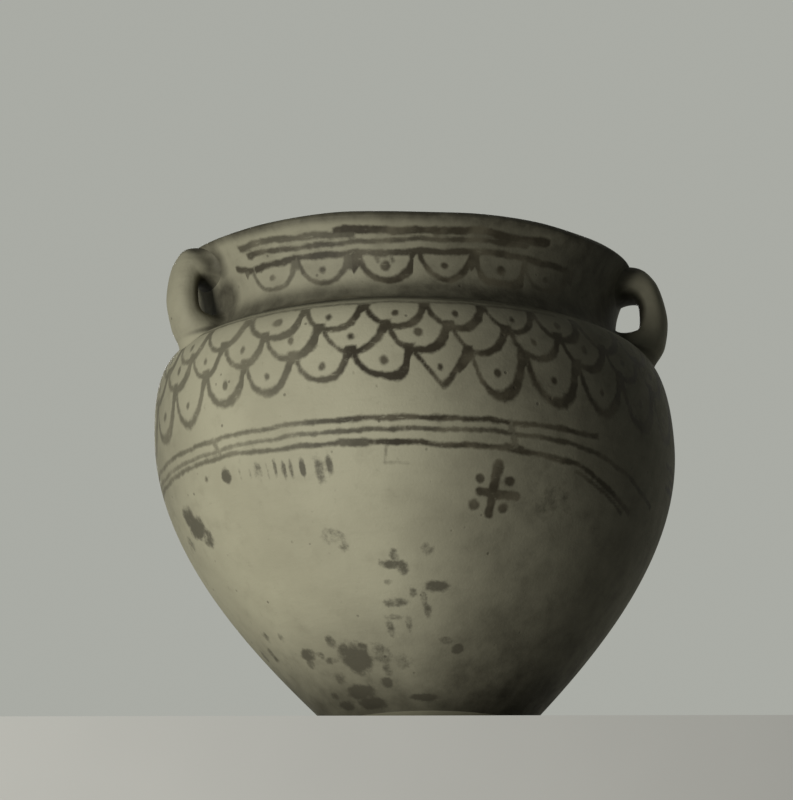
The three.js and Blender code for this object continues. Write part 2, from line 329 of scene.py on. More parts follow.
# Single dabs: from one place to another, half width and darkness
RIM_DABS = (
    (-49.0, 222.6, -44.0, 220.9, 1.1, 0.9),
    (-43.5, 226.9, -42.6, 226.8, 1.3, 0.9),
    (36.4, 230.2, 37.6, 230.2, 1.9, 1.0),
    (-7.6, 219.0, -7.2, 217.2, 0.5, 0.8),
    (-3.4, 219.0, -3.0, 217.2, 0.5, 0.8),
)
BODY_DABS = (
    (-48.6, 138.8, -47.0, 132.1, 0.8, 0.6),
    (20.6, 138.4, 21.8, 128.8, 1.3, 0.6),
    (19.6, 128.4, 22.8, 128.2, 1.5, 0.95),
    (-15.7, 129.5, -10.9, 129.3, 1.5, 0.9),
    (-53.9, 124.8, -53.8, 124.8, 0.9, 0.7),
    (-6.2, 126.8, -6.9, 121.2, 0.35, 0.5),
    (-6.9, 121.0, -2.0, 120.4, 0.2, 0.4),
    (18.2, 121.2, 16.5, 101.6, 1.7, 1.0),
    (13.9, 110.2, 22.6, 108.8, 1.6, 1.0),
    (13.8, 115.2, 14.0, 115.2, 1.7, 0.95),
    (20.6, 114.7, 20.7, 114.7, 1.7, 0.95),
    (12.6, 104.7, 12.8, 104.7, 2.0, 0.95),
    (19.9, 104.1, 20.0, 104.1, 1.7, 0.95),
)
# Worn spots and stains: turn, level, half width, half height and darkness
STAINS = (
    (-46.8, 123.4, 2.1, 2.5, 0.95),
    (-42.4, 123.2, 0.7, 2.6, 0.5),
    (-39.6, 123.0, 0.7, 2.2, 0.4),
    (-37.2, 122.8, 1.8, 3.0, 0.5),
    (-34.6, 122.6, 0.7, 3.0, 0.5),
    (-32.6, 122.4, 0.8, 3.2, 0.65),
    (-30.4, 121.6, 0.9, 3.6, 0.65),
    (-28.6, 121.6, 0.8, 3.8, 0.7),
    (-25.8, 121.0, 1.1, 3.4, 0.85),
    (-21.8, 119.0, 1.9, 4.6, 0.55),
    (-19.4, 121.4, 1.2, 3.6, 0.7),
    (-68.6, 114.5, 4.6, 3.8, 0.8),
    (-66.6, 108.5, 6.0, 3.8, 1.0),
    (-63.6, 103.6, 3.6, 3.6, 0.75),
    (-76.0, 105.0, 4.0, 2.6, 0.5),
    (-22.2, 93.2, 4.2, 3.0, 0.42),
    (-19.8, 88.4, 2.4, 2.0, 0.36),
    (-7.2, 84.0, 1.6, 2.4, 0.6),
    (-7.4, 79.6, 4.4, 1.7, 0.7),
    (-5.4, 77.2, 2.0, 1.8, 0.65),
    (-9.7, 72.5, 1.8, 1.6, 0.42),
    (1.1, 85.7, 2.8, 2.2, 0.5),
    (3.6, 70.1, 4.0, 2.1, 0.8),
    (-3.2, 67.5, 1.6, 2.0, 0.5),
    (-8.6, 63.3, 4.0, 1.7, 0.7),
    (-0.1, 64.5, 1.3, 3.4, 0.5),
    (1.0, 59.0, 1.5, 2.6, 0.55),
    (-12.0, 51.5, 1.4, 4.0, 0.5),
    (-10.0, 57.0, 3.4, 1.3, 0.5),
    (-5.4, 54.5, 1.3, 3.8, 0.48),
    (-66.8, 58.0, 2.0, 2.8, 0.48),
    (-57.6, 54.5, 1.6, 2.4, 0.42),
    (-72.2, 49.1, 1.8, 3.0, 0.65),
    (-82.0, 51.6, 1.8, 3.0, 0.6),
    (-49.6, 44.4, 4.0, 2.3, 0.85),
    (-52.0, 40.2, 2.0, 2.2, 0.6),
    (-44.0, 42.6, 1.8, 1.6, 0.55),
    (-35.9, 48.5, 1.8, 2.4, 0.65),
    (-40.2, 39.8, 2.8, 1.5, 0.6),
    (-28.6, 38.8, 5.4, 5.8, 1.0),
    (-31.8, 44.2, 2.2, 2.4, 0.85),
    (-24.4, 43.7, 2.0, 2.2, 0.8),
    (-17.3, 40.3, 4.0, 4.2, 0.46),
    (-17.2, 32.8, 1.7, 2.8, 0.46),
    (-18.9, 27.2, 2.0, 2.1, 0.85),
    (-40.9, 31.4, 2.4, 3.0, 0.55),
    (-34.6, 23.8, 5.6, 2.8, 0.92),
    (-31.2, 17.8, 5.0, 2.4, 0.95),
    (-47.5, 18.6, 3.8, 2.0, 0.8),
    (-52.2, 23.6, 2.2, 1.5, 0.5),
    (-1.6, 19.4, 4.4, 1.5, 0.98),
    (11.7, 42.2, 1.9, 1.9, 0.95),
    (7.7, 46.2, 2.6, 1.8, 0.48),
    (-9.2, 37.1, 4.2, 3.6, 0.36),
    (32.0, 108.6, 9.0, 6.0, 0.4),
    (128.0, 96.0, 6.0, 4.0, 0.6),
    (-140.0, 58.0, 7.0, 4.5, 0.8),
    (163.0, 40.0, 4.0, 6.0, 0.7),
)
# Painted shade in the hollows round the handles: turn, level, half width, half height and darkness
SHADED_HOLLOWS = (
    (-56.8, 213.0, 7.2, 7.6, 1.2),
    (-56.5, 228.0, 5.0, 6.5, 0.85),
    (-74.0, 213.0, 6.0, 8.0, 0.75),
    (-64.0, 210.0, 6.0, 4.0, 0.35),
    (69.0, 212.0, 9.0, 10.0, 0.75),
    (94.0, 212.0, 8.0, 9.0, 0.7),
)
# How many times its half width and height a patch's edge reaches out, and how dark a hollow may be
STAIN_EDGE, HOLLOW_EDGE, DARKEST_HOLLOW = 1.75, 1.5, 0.92
# Wide darkening, as darkness and the spans of turn or level over which it comes and goes: painted shade on
# the right, away from the key lamp; painted shade at the left end, darker above; darker over the shoulder and
# neck; painted shade on the rim's right; a grey wash with painted shade in the neck's hollow round its foot;
# painted shade towards the pot's foot; and darker at the lip
RIGHT_SIDE_SHADE, RIGHT_SIDE_SHADE_STARTS, RIGHT_SIDE_SHADE_ENDS = 0.60, (-12.0, 26.0), (112.0, 168.0)
LEFT_EDGE_SHADE, LEFT_EDGE_SHADE_ABOVE, LEFT_EDGE_SHADE_LEVELS = 0.2, 0.25, (105.0, 140.0)
LEFT_EDGE_SHADE_FRONT, LEFT_EDGE_SHADE_BACK = (46.0, 86.0), (-130.0, -95.0)
UPPER, UPPER_LEVELS = 0.34, (187.0, 200.0)
RIM_RIGHT_SHADE, RIM_RIGHT_LEVELS, RIM_RIGHT_TURNS = 0.16, (204.0, 232.0), (-30.0, 40.0)
NECK_WASH_AND_SHADE, NECK_WASH_AND_SHADE_STARTS, NECK_WASH_AND_SHADE_ENDS = 0.74, (190.5, 195.0), (205.0, 212.5)
FOOT_SHADE, FOOT_LEVELS = 0.70, (14.0, 78.0)
LIP_DARKENING, LIP_LEVELS = 0.88, (LENGTH - 5.0, LENGTH - 0.6)
# Darkening inside, more in its lip, on the base and on a strap
INSIDE_DARKENING, INSIDE_LIP_DARKENING, INSIDE_LIP_LEVELS = 0.3, 0.6, (LENGTH - 6.0, LENGTH)
BASE_DARKENING, STRAP_DARKENING, STRAP_ON_WALL = 0.2, 0.3, (1.5, 7.0)
# The darkest place of a strap is its hole, painted shade: how dark, its height, how far in from the strap it
# lies, over what distance it fades, and its width as a share of its height
HOLE_SHADE, HOLE_HEIGHT, HOLE_DEPTH, HOLE_SPAN, HOLE_SHARE = 0.94, 183.0, 3.4, (5.0, 9.5), 0.8


def smooth(value, low, high):
    """Goes smoothly from 0 to 1 as the value goes from low to high."""
    t = np.clip((value - low) / (high - low), 0.0, 1.0)
    return t * t * (3.0 - 2.0 * t)


def per_degree(level):
    """Millimetres round the pot for one degree of turn, at a level."""
    return np.radians(np.interp(level, ARC, CURVE[:, 0]))


def through(turn, places):
    """The value at a turn, in straight lines through the places, each a turn and a value."""
    turns, values = np.array(places, dtype=float).T
    return np.interp(turn, turns, values)


def sway(turn, level, size, waves, start):
    """The hand's slow wandering, at most the size: the mean of three sines round the pot and up it."""
    around = np.radians(turn)
    sines = [
        np.sin((times * waves + more) * around + level / climb + again * start)
        for times, more, climb, again in SWAY_SINES
    ]
    return size * sum(sines) / len(sines)


def lay(under, gap, dark):
    """Lays one piece of brushwork over the rest: the nearer of the two at each point, with its darkness."""
    nearer = gap < under[0]
    return np.where(nearer, gap, under[0]), np.where(nearer, dark, under[1])


def long_stroke(turn, level, places, half):
    """A stroke round the pot through its places: the distance above or below them, less half the stroke's
    width, or the distance past its nearer end where that is more."""
    across = np.abs(level - through(turn, places)) - half
    past = np.maximum(places[0][0] - turn, turn - places[-1][0]) * per_degree(level)
    return np.maximum(across, past)


def dab(turn, level, mark):
    """A straight dab with round ends: the distance to the line between two places, less half its width."""
    start_turn, start_level, end_turn, end_level, half = mark[:5]
    scale = float(per_degree((start_level + end_level) / 2))
    run, climb = (end_turn - start_turn) * scale, end_level - start_level
    x, y = (turn - start_turn) * scale, level - start_level
    share = np.clip((x * run + y * climb) / (run * run + climb * climb), 0.0, 1.0)
    return np.hypot(x - share * run, y - share * climb) - half


def hanging_arc(u, drop, depth, power, half, swell, corner):
    """A hanging arc, |u/reach|^power + (drop/depth)^power = 1, whose line swells to its right and whose
    corners are filled down to a depth. The size turns its measure into millimetres."""
    reach, size, swell_span = 0.88, 11.0, (-0.4, 0.8)
    share = np.maximum(drop, 0.0) / depth
    off = (((np.abs(u) / reach) ** power + share**power) ** (1.0 / power) - 1.0) * size
    grow = swell * smooth(u, *swell_span)
    line = np.maximum(np.abs(off - grow) - half - grow, -drop - half)
    fill = np.maximum(np.maximum(-off, -drop - half), drop - corner)
    return np.minimum(line, fill)


def scale_row(turn, level, row):
    """One row of scales: hanging arcs with a dot in each, their corners filled, most on the right. A sine of
    the scale's number makes each one a little different."""
    top, depth, offset, dots = SCALE_ROWS[row]
    last = row == len(SCALE_ROWS) - 1
    spot = (turn - through(turn, SCALE_DRIFTS[row]) - offset) / PITCH
    number = np.floor(spot + 0.5)
    u = 2.0 * (spot - number)
    half_way = SCALES_AROUND // 2
    uneven = np.sin(UNEVEN_STEP * ((number + half_way) % SCALES_AROUND - half_way) + row)
    power = ROUND_POWER + UNEVEN_POWER * uneven
    if last:
        depth = top - through(turn, LAST_ROW_BOTTOM)
        dots = top - LAST_ROW_DOTS * depth
        pointed = 1.0 - smooth(np.abs(turn - POINTED_TURN), *POINTED_REACH)
        power = power - (ROUND_POWER - POINTED_POWER) * pointed
    right, left = CORNER_RIGHT * (1.0 - u), -CORNER_LEFT * (u + 1.0)
    bound = (CORNER_SHARE + np.where(u > 0.0, right, left)) * (np.abs(u) > CORNER_START)
    half, swell = SCALE_HALF_LINE + UNEVEN_HALF * uneven, SCALE_SWELL + UNEVEN_SWELL * uneven
    arc = hanging_arc(u, top - level, depth, power, half, swell, bound * depth)
    x = (u - UNEVEN_PLACE * uneven) * PITCH / 2 * per_degree(level)
    y = (level - dots - UNEVEN_LEVEL * uneven) * DOT_SHARE
    dot = np.hypot(x, y) - SCALE_DOT - UNEVEN_DOT * uneven
    if not last:
        for bare in TURNS_WITHOUT_DOT:
            dot = np.where(np.abs(turn - bare) < WITHOUT_DOT_REACH, BARE, dot)
    return np.minimum(arc, dot)


def scallops(turn, level):
    """The rim's row of hanging half discs, each as it was painted, and nothing outside the row. The paint in
    a corner slopes up to both sides of it."""
    slope_left, slope_right, swell, dot_drift, row_end = 6.0, 14.0, 0.45, -0.05, 1.25
    spot = (turn - SCALLOP_START) / SCALLOP_PITCH
    number = np.clip(np.floor(spot + 0.5), 0, len(SCALLOPS) - 1).astype(int)
    drift, bottom, power, half, dot_size, corner, dark = np.array(SCALLOPS).T[:, number]
    u = 2.0 * ((turn - drift - SCALLOP_START) / SCALLOP_PITCH - number)
    top = through(turn, RIM_STROKES[0][2:])
    left_corner = np.array([0.0] + [row[5] for row in SCALLOPS[:-1]])[number]
    bound = np.where(u > 0.0, corner - slope_left * (1.0 - u), left_corner - slope_right * (u + 1.0))
    arc = hanging_arc(u, top - level, top - bottom, power, half, swell * half, bound)
    x = (u - dot_drift) * SCALLOP_PITCH / 2 * per_degree(level)
    dot = np.hypot(x, level - SCALLOP_DOT_LEVEL) - dot_size
    gap = np.where(np.abs(u) > row_end, BARE, np.minimum(arc, dot))
    return gap, dark


def brushwork(turn, level):
    """All the paint on the outside: how far each point lies outside it, and how dark the paint is there."""
    turn = turn + sway(turn, level, *TURN_SWAY)
    level = level + sway(turn, level, *LEVEL_SWAY)
    press = 1.0 + sway(turn, level, *PRESS_SWAY)
    body_dark = through(turn, BODY_DARKNESS)
    body_press = press * (1.0 - WIDTH_FADING + WIDTH_FADING * body_dark)
    paint = (np.full(turn.shape, BARE), np.zeros(turn.shape))
    for row in range(len(SCALE_ROWS)):
        paint = lay(paint, scale_row(turn, level, row), body_dark)
    for half, dark, *places in NECK_STROKES:
        paint = lay(paint, long_stroke(turn, level, places, half * press), dark)
    for half, dark, *places in BAND_STROKES:
        paint = lay(paint, long_stroke(turn, level, places, half * body_press), dark * body_dark)
    for mark in BODY_DABS:
        paint = lay(paint, dab(turn, level, mark), mark[-1])
    front = (turn - RIM_CENTRE + 90.0) % 180.0 - 90.0 + RIM_CENTRE
    paint = lay(paint, *scallops(front, level))
    for half, dark, *places in RIM_STROKES:
        paint = lay(paint, long_stroke(front, level, places, half * press), dark)
    for mark in RIM_DABS:
        paint = lay(paint, dab(front, level, mark), mark[-1])
    return paint


def spots(turn, level, marks, edge):
    """Soft patches: each one's darkness inside it, falling to 0 at its edge, and the darkest of them."""
    total = np.zeros(turn.shape)
    for at_turn, at_level, wide, high, dark in marks:
        x = (turn - at_turn) * float(per_degree(at_level)) / wide
        far = np.hypot(x, (level - at_level) / high)
        total = np.maximum(total, dark * np.clip(edge - far, 0.0, 1.0))
    return total


def soot_and_shade(turn, level):
    """How dark the outside is with soot and painted shade: 1 less the product of the shares that the patches
    of darkening leave clear.
    """
    not_behind = 1.0 - smooth(turn, *RIGHT_SIDE_SHADE_ENDS)
    # Painted shade over the right side, away from the key lamp
    right_side_shade = RIGHT_SIDE_SHADE * smooth(turn, *RIGHT_SIDE_SHADE_STARTS) * not_behind
    # Painted shade at the left end, where the surface turns away from the key lamp, darker above
    left_edge_shade = LEFT_EDGE_SHADE + LEFT_EDGE_SHADE_ABOVE * smooth(level, *LEFT_EDGE_SHADE_LEVELS)
    left_edge_shade = left_edge_shade * smooth(-turn, *LEFT_EDGE_SHADE_FRONT) * smooth(turn, *LEFT_EDGE_SHADE_BACK)
    # Painted shade on the rim's right, away from the key lamp
    rim_right_shade = RIM_RIGHT_SHADE * smooth(level, *RIM_RIGHT_LEVELS) * smooth(turn, *RIM_RIGHT_TURNS) * not_behind
    upper = UPPER * smooth(level, *UPPER_LEVELS) + rim_right_shade
    # A grey wash with painted shade in the neck's hollow, above the neck's line
    neck_wash_and_shade = NECK_WASH_AND_SHADE * smooth(level, *NECK_WASH_AND_SHADE_STARTS) * (1.0 - smooth(level, *NECK_WASH_AND_SHADE_ENDS))
    # Painted shade towards the pot's foot, where the shelf's edge keeps the low key lamp off
    foot = FOOT_SHADE * (1.0 - smooth(level, *FOOT_LEVELS))
    # Painted shade in the hollows round the handles
    hollows = np.clip(spots(turn, level, SHADED_HOLLOWS, HOLLOW_EDGE), 0.0, DARKEST_HOLLOW)
    # Darker over the last few millimetres up to the lip
    lip = LIP_DARKENING * smooth(level, *LIP_LEVELS)
    return 1.0 - math.prod(1.0 - patch for patch in (right_side_shade, left_edge_shade, upper, neck_wash_and_shade, foot, hollows, lip))


def outside_fields(turn, arc):
    """The four values that a point of the outside carries for its material."""
    turn, level = np.broadcast_arrays(np.degrees(turn), arc)
    gap, dark = brushwork(turn, level)
    return {
        "paint_gap": gap,
        "paint_dark": dark,
        "stain": spots(turn, level, STAINS, STAIN_EDGE),
        "soot_and_shade": soot_and_shade(turn, level),
    }


def plain_fields(count, darkening):
    """The same values for points without paint or stains."""
    bare = np.full(count, BARE)
    return {"paint_gap": bare, "paint_dark": 0.0 * bare, "stain": 0.0 * bare, "soot_and_shade": 0.0 * bare + darkening}


def build_mesh(name, points, faces, normals, uv, fields):
    """Makes one object from arrays. Faces are rows of corners, and uv has a row for each corner."""
    mesh = bpy.data.meshes.new(name)
    mesh.from_pydata(points.tolist(), [], faces)
    layer = mesh.uv_layers.new(name="surface")
    layer.data.foreach_set("uv", np.asarray(uv, np.float32).ravel())
    for field, values in fields.items():
        attribute = mesh.attributes.new(field, "FLOAT", "POINT")
        attribute.data.foreach_set("value", np.asarray(values, np.float32).ravel())
    mesh.polygons.foreach_set("use_smooth", np.ones(len(faces), dtype=bool))
    mesh.normals_split_custom_set_from_vertices(normals.tolist())
    mesh.update()
    made = bpy.data.objects.new(name, mesh)
    bpy.context.scene.collection.objects.link(made)
    return made


def grid_faces(rows, columns, closed_rows):
    """Quads between the rows of a grid that closes round its columns, each row's first corner first."""
    row_count = rows if closed_rows else rows - 1
    i, j = np.meshgrid(np.arange(row_count), np.arange(columns), indexing="ij")
    i2, j2 = (i + 1) % rows, (j + 1) % columns
    corners = np.stack([i * columns + j, i * columns + j2, i2 * columns + j2, i2 * columns + j], -1)
    return corners.reshape(-1, 4), np.stack([i, i, i + 1, i + 1], -1), np.stack([j, j + 1, j + 1, j], -1)


TURNS = np.linspace(-math.pi, math.pi, COLUMNS, endpoint=False)


def ring_uv(arcs, row, column):
    """Corner coordinates: the share of a turn from the back, and the share of the wall's length."""
    arcs = np.asarray(arcs)
    return np.stack([column / COLUMNS, arcs[row % len(arcs)] / LENGTH], -1).reshape(-1, 2)


def course(name, start, end, square_foot=False, lip=False):
    """A course of the wall: its outside going up, its upper joint or lip, and its inside going down."""
    count = round((end - start) / OUTSIDE_STEP)
    outer = np.linspace(start, end, count + 1)
    top_lap = 0.0 if lip else LAP
    inner = np.linspace(end + top_lap, start + LAP, round((end - start) / INSIDE_STEP) + 1)
    grids = [skin(TURNS[None, :], outer[:, None], False)]
    arcs = [outer]
    if lip:
        crown, crown_arcs = lip_rows(end)
        grids.append(crown)
        arcs.append(crown_arcs)
    inside = skin(TURNS[None, :], inner[:, None], True)
    if square_foot:
        inside[-1] = level_foot(start)
    grids.append(inside)
    arcs.append(inner)
    grid = np.concatenate(grids)
    normals = loop_normals(grid)
    normals[0] = skin_normals(TURNS, start, False)
    normals[-1] = skin_normals(TURNS, start + LAP, True)
    if not lip:
        normals[count] = skin_normals(TURNS, end, False)
        normals[count + 1] = skin_normals(TURNS, end + LAP, True)
    faces, row, column = grid_faces(len(grid), COLUMNS, True)
    uv = ring_uv(np.concatenate(arcs), row, column)
    outer_arcs = np.concatenate(arcs[:-1])
    fields = outside_fields(TURNS[None, :], outer_arcs[:, None])
    inside_darkening = INSIDE_DARKENING + INSIDE_LIP_DARKENING * smooth(inner, *INSIDE_LIP_LEVELS)
    within = plain_fields((len(inner), COLUMNS), inside_darkening[:, None])
    joined = {key: np.concatenate([values, within[key]]) for key, values in fields.items()}
    return build_mesh(name, grid.reshape(-1, 3), faces.tolist(), normals.reshape(-1, 3), uv, joined)


def fan(point, first, count, turned):
    """Triangles from a point to each side of a ring, whose corners change places where it is turned."""
    here = first + np.arange(count)
    after = first + (np.arange(count) + 1) % count
    pair = (after, here) if turned else (here, after)
    return np.stack([np.full(count, point), *pair], -1).tolist()


def lip_rows(end):
    """The round over the top of the wall: half an ellipse from the outside to the inside, as high as a
    quarter of the wall's thickness."""
    outer = skin(TURNS, end, False)
    inner = skin(TURNS, end, True)
    middle, half = (outer + inner) / 2, (inner - outer) / 2
    up = outer - skin(TURNS, end - 1.0, False)
    up *= 0.5 * np.linalg.norm(half, axis=-1, keepdims=True) / np.linalg.norm(up, axis=-1, keepdims=True)
    angle = np.linspace(0.0, math.pi, LIP_ROWS + 2)[1:-1, None, None]
    grid = middle - np.cos(angle) * half + np.sin(angle) * up
    return grid, np.linspace(end, LENGTH, LIP_ROWS)


def level_foot(start):
    """The inner edge of the first course's level lower face, at the same height as its outer edge."""
    radius, height = profile(np.array(start), 0.0)
    ahead, higher = profile(np.array(start + 1.0), 0.0)
    wide = WALL * math.hypot(ahead - radius, higher - height) / (higher - height)
    return place(TURNS, float(radius - wide), float(height))


def base_disc(name):
    """The disc under the pot: flat below and above, with the outside's slope at its edge. Its rings go from
    the middle of its underside out, up the edge and back in to the middle of its top."""
    edge_rings, inset, lowest = 9, 1.0, 0.5
    top = arc_at(BASE_THICKNESS)
    edge_arcs = np.linspace(0.0, top, edge_rings)
    edge = skin(TURNS[None, :], edge_arcs[:, None], False)
    shares = np.array([0.05, 0.2, 0.4, 0.6, 0.8, 0.93])
    under = place(TURNS[None, :], BASE_RADIUS * shares[:, None], 0.0)
    upper_radius = float(np.interp(BASE_THICKNESS, CURVE[:, 1], CURVE[:, 0])) - inset
    over = place(TURNS[None, :], upper_radius * shares[::-1, None], BASE_THICKNESS)
    grid = np.concatenate([under, edge, over])
    arcs = np.concatenate([np.zeros(len(shares)), edge_arcs, np.full(len(shares), top)])
    faces, row, column = grid_faces(len(grid), COLUMNS, False)
    points = np.vstack([grid.reshape(-1, 3), place(0.0, 0.0, 0.0), place(0.0, 0.0, BASE_THICKNESS)])
    low, high, last = len(points) - 2, len(points) - 1, (len(grid) - 1) * COLUMNS
    every = faces.tolist() + fan(low, 0, COLUMNS, True) + fan(high, last, COLUMNS, False)
    uv = np.concatenate([ring_uv(arcs, row, column), np.zeros((6 * COLUMNS, 2))])
    normals = np.tile((0.0, 0.0, 1.0), (len(points), 1))
    normals[: len(shares) * COLUMNS] = (0.0, 0.0, -1.0)
    normals[low] = (0.0, 0.0, -1.0)
    for i, arc in enumerate(edge_arcs):
        first = (len(shares) + i) * COLUMNS
        normals[first : first + COLUMNS] = skin_normals(TURNS, max(arc, lowest), False)
    return build_mesh(name, points, every, normals, uv, plain_fields(len(points), BASE_DARKENING))


def root_ring(turn_degrees, height, half_width, upper, lower, angle):
    """An oval drawn on the wall round the middle of a root, just under the surface: the cosine of the angle
    goes round the pot and its sine up the wall."""
    arc = arc_at(height) + np.where(np.sin(angle) > 0.0, upper, lower) * np.sin(angle)
    radius, _ = profile(arc, 0.0)
    turn = math.radians(turn_degrees) + half_width * np.cos(angle) / radius
    outside = skin(turn, arc, False)
    one_deep = place(turn, radius - 1.0, profile(arc, 1.0)[1])
    return outside + OVAL_DEPTH * (one_deep - outside)


def strap_ring(turn_degrees, inner, outer, half_width, angle):
    """A rounded oblong section from its inner to its outer point, each a radius and a height."""
    inner, outer = np.array(inner), np.array(outer)
    middle, half = (inner + outer) / 2, (outer - inner) / 2
    radial = middle[0] + half[0] * rounded(np.sin(angle))
    height = middle[1] + half[1] * rounded(np.sin(angle))
    across = half_width * rounded(np.cos(angle))
    around = math.radians(turn_degrees)
    x = radial * math.sin(around) + across * math.cos(around)
    y = -radial * math.cos(around) + across * math.sin(around)
    return settle(x, y, height)


def rounded(value, power=0.86):
    """A cosine or sine drawn towards the corners of a rounded oblong."""
    return np.sign(value) * np.abs(value) ** power


def loft(rings, knots, start_slope, end_slope, shares):
    """A smooth skin through rings: cubic Hermite pieces, whose inner slopes come from both neighbours."""
    slopes = [start_slope]
    for i in range(1, len(rings) - 1):
        slopes.append((rings[i + 1] - rings[i - 1]) / (knots[i + 1] - knots[i - 1]))
    slopes.append(end_slope)
    rings, slopes, knots = np.array(rings), np.array(slopes), np.array(knots)
    piece = np.clip(np.searchsorted(knots, shares, side="right") - 1, 0, len(knots) - 2)
    span = (knots[piece + 1] - knots[piece])[:, None, None]
    t = (shares - knots[piece])[:, None, None] / span
    a, b = rings[piece], rings[piece + 1]
    rise_a, rise_b = slopes[piece] * span, slopes[piece + 1] * span
    return (
        (2 * t**3 - 3 * t**2 + 1) * a
        + (t**3 - 2 * t**2 + t) * rise_a
        + (3 * t**2 - 2 * t**3) * b
        + (t**3 - t**2) * rise_b
    )


def strap_soot_and_shade(grid, hole_radius):
    """How dark a strap is: as the wall is where it lies on the wall, evenly darker elsewhere, and darkest
    with painted shade round its hole.
    """
    x, y, z = np.moveaxis(grid / MM, -1, 0)
    x = x + LEAN * z
    radius = np.hypot(x, y)
    on_wall = 1.0 - smooth(radius - np.interp(z, CURVE[:, 1], CURVE[:, 0]), *STRAP_ON_WALL)
    walls = soot_and_shade(np.degrees(np.arctan2(x, -y)), np.interp(z, CURVE[:, 1], ARC))
    from_hole = np.hypot(radius - hole_radius, HOLE_SHARE * (z - HOLE_HEIGHT))
    # Painted shade round the strap's hole
    by_hole = HOLE_SHADE * (1.0 - smooth(from_hole, *HOLE_SPAN))
    return np.maximum(STRAP_DARKENING + (walls - STRAP_DARKENING) * on_wall, by_hole)


def strap_rings(turn_degrees, inner, out, half, angle):
    """The strap's rings from the rim's root to the shoulder's, and its slopes where it leaves and arrives.
    It leaves the rim outward on its outer side, and otherwise spreads from the root's core."""
    top_height, top_wider, *top_reach = TOP_ROOT
    foot_height, foot_wider, *foot_reach = FOOT_ROOT
    rings = [root_ring(turn_degrees, top_height, half + top_wider, *top_reach, angle)]
    for inner_shift, inner_height, outer_shift, outer_height, wider in STRAP_SECTIONS:
        low, high = (inner + inner_shift, inner_height), (out + outer_shift, outer_height)
        rings.append(strap_ring(turn_degrees, low, high, half + wider, angle))
    rings.append(root_ring(turn_degrees, foot_height, half + foot_wider, *foot_reach, angle))
    top_core = root_ring(turn_degrees, top_height, *TOP_CORE, angle)
    foot_core = root_ring(turn_degrees, foot_height, *FOOT_CORE, angle)
    away = TOP_OUTWARD * outward(turn_degrees) + np.array([0.0, 0.0, TOP_UPWARD * MM])
    outer_side = np.clip(np.sin(angle), 0.0, 1.0)[:, None] ** 3
    leave = TOP_SPREAD * (top_core - rings[0]) * (1 - outer_side) + away * outer_side
    return rings, leave, FOOT_SPREAD * (rings[-1] - foot_core)


def outward(turn_degrees):
    """One millimetre straight out from the pot's axis at a turn."""
    around = math.radians(turn_degrees)
    return np.array([math.sin(around), -math.cos(around), 0.0]) * MM


def handle(name, stand_off, turn_degrees):
    """A strap that rises over the lip, loops out and comes down to the shoulder, its ends smeared on the
    wall: a smooth skin through its rings, closed by a shallow cone inside the wall at each end."""
    angle = np.linspace(0.0, 2 * math.pi, STRAP_SIDES, endpoint=False)
    out, half = RIM_RADIUS + stand_off, HANDLE_WIDTH / 2
    inner = out - HANDLE_THICKNESS
    rings, leave, arrive = strap_rings(turn_degrees, inner, out, half, angle)
    end_shares = np.linspace(0.0, END_SHARE, END_RINGS)
    middle_shares = np.linspace(END_SHARE, 1.0 - END_SHARE, MIDDLE_RINGS)[1:-1]
    shares = np.concatenate([end_shares, middle_shares, 1.0 - end_shares[::-1]])
    grid = loft(rings, STRAP_KNOTS, leave, arrive, shares)
    along = np.gradient(grid, axis=0)
    turned = np.roll(grid, -1, axis=1) - np.roll(grid, 1, axis=1)
    normals = -cross_normals(along, turned)
    rows = len(grid)
    faces, row, column = grid_faces(rows, STRAP_SIDES, False)
    deeper = CAP_DEPTH * outward(turn_degrees)
    ends = [grid[0].mean(axis=0) - deeper, grid[-1].mean(axis=0) - deeper]
    points = np.vstack([grid.reshape(-1, 3), ends])
    start, finish, last = len(points) - 2, len(points) - 1, (rows - 1) * STRAP_SIDES
    caps = fan(start, 0, STRAP_SIDES, False) + fan(finish, last, STRAP_SIDES, True)
    every = faces[:, ::-1].tolist() + caps
    uv = np.stack([column / STRAP_SIDES, row / rows], -1)[:, ::-1].reshape(-1, 2)
    uv = np.concatenate([uv, np.zeros((6 * STRAP_SIDES, 2))])
    end_normals = np.array([normals[0].mean(axis=0), normals[-1].mean(axis=0)])
    joined_normals = np.vstack([normals.reshape(-1, 3), end_normals])
    darkening = np.append(strap_soot_and_shade(grid, inner - HOLE_DEPTH).ravel(), [0.0, 0.0])
    return build_mesh(name, points, every, joined_normals, uv, plain_fields(len(points), darkening))


class Term:
    """One socket of a material's tree. Python expressions on terms and numbers add the Math nodes."""

    def __init__(self, tree, socket=None):
        self.tree, self.socket = tree, socket

    def node(self, kind, settings=None, values=(), output=0):
        """Adds a node: its type, its settings, and its sockets' values by place or name, terms to link."""
        made = self.tree.nodes.new(kind)
        for key, value in (settings or {}).items():
            setattr(made, key, value)
        for key, value in values.items() if isinstance(values, dict) else enumerate(values):
            if isinstance(value, Term):
                self.tree.links.new(value.socket, made.inputs[key])
            else:
                made.inputs[key].default_value = value
        return Term(self.tree, made.outputs[output]) if len(made.outputs) else made

    def math(self, operation, *values):
        """One Math node on the given values."""
        return self.node("ShaderNodeMath", {"operation": operation}, values)

    def __add__(self, other):
        return self.math("ADD", self, other)

    def __sub__(self, other):
        return self.math("SUBTRACT", self, other)

    def __rsub__(self, other):
        return self.math("SUBTRACT", other, self)

    def __mul__(self, other):
        return self.math("MULTIPLY", self, other)

    def at_least(self, other):
        return self.math("MAXIMUM", self, other)

    __radd__, __rmul__ = __add__, __mul__


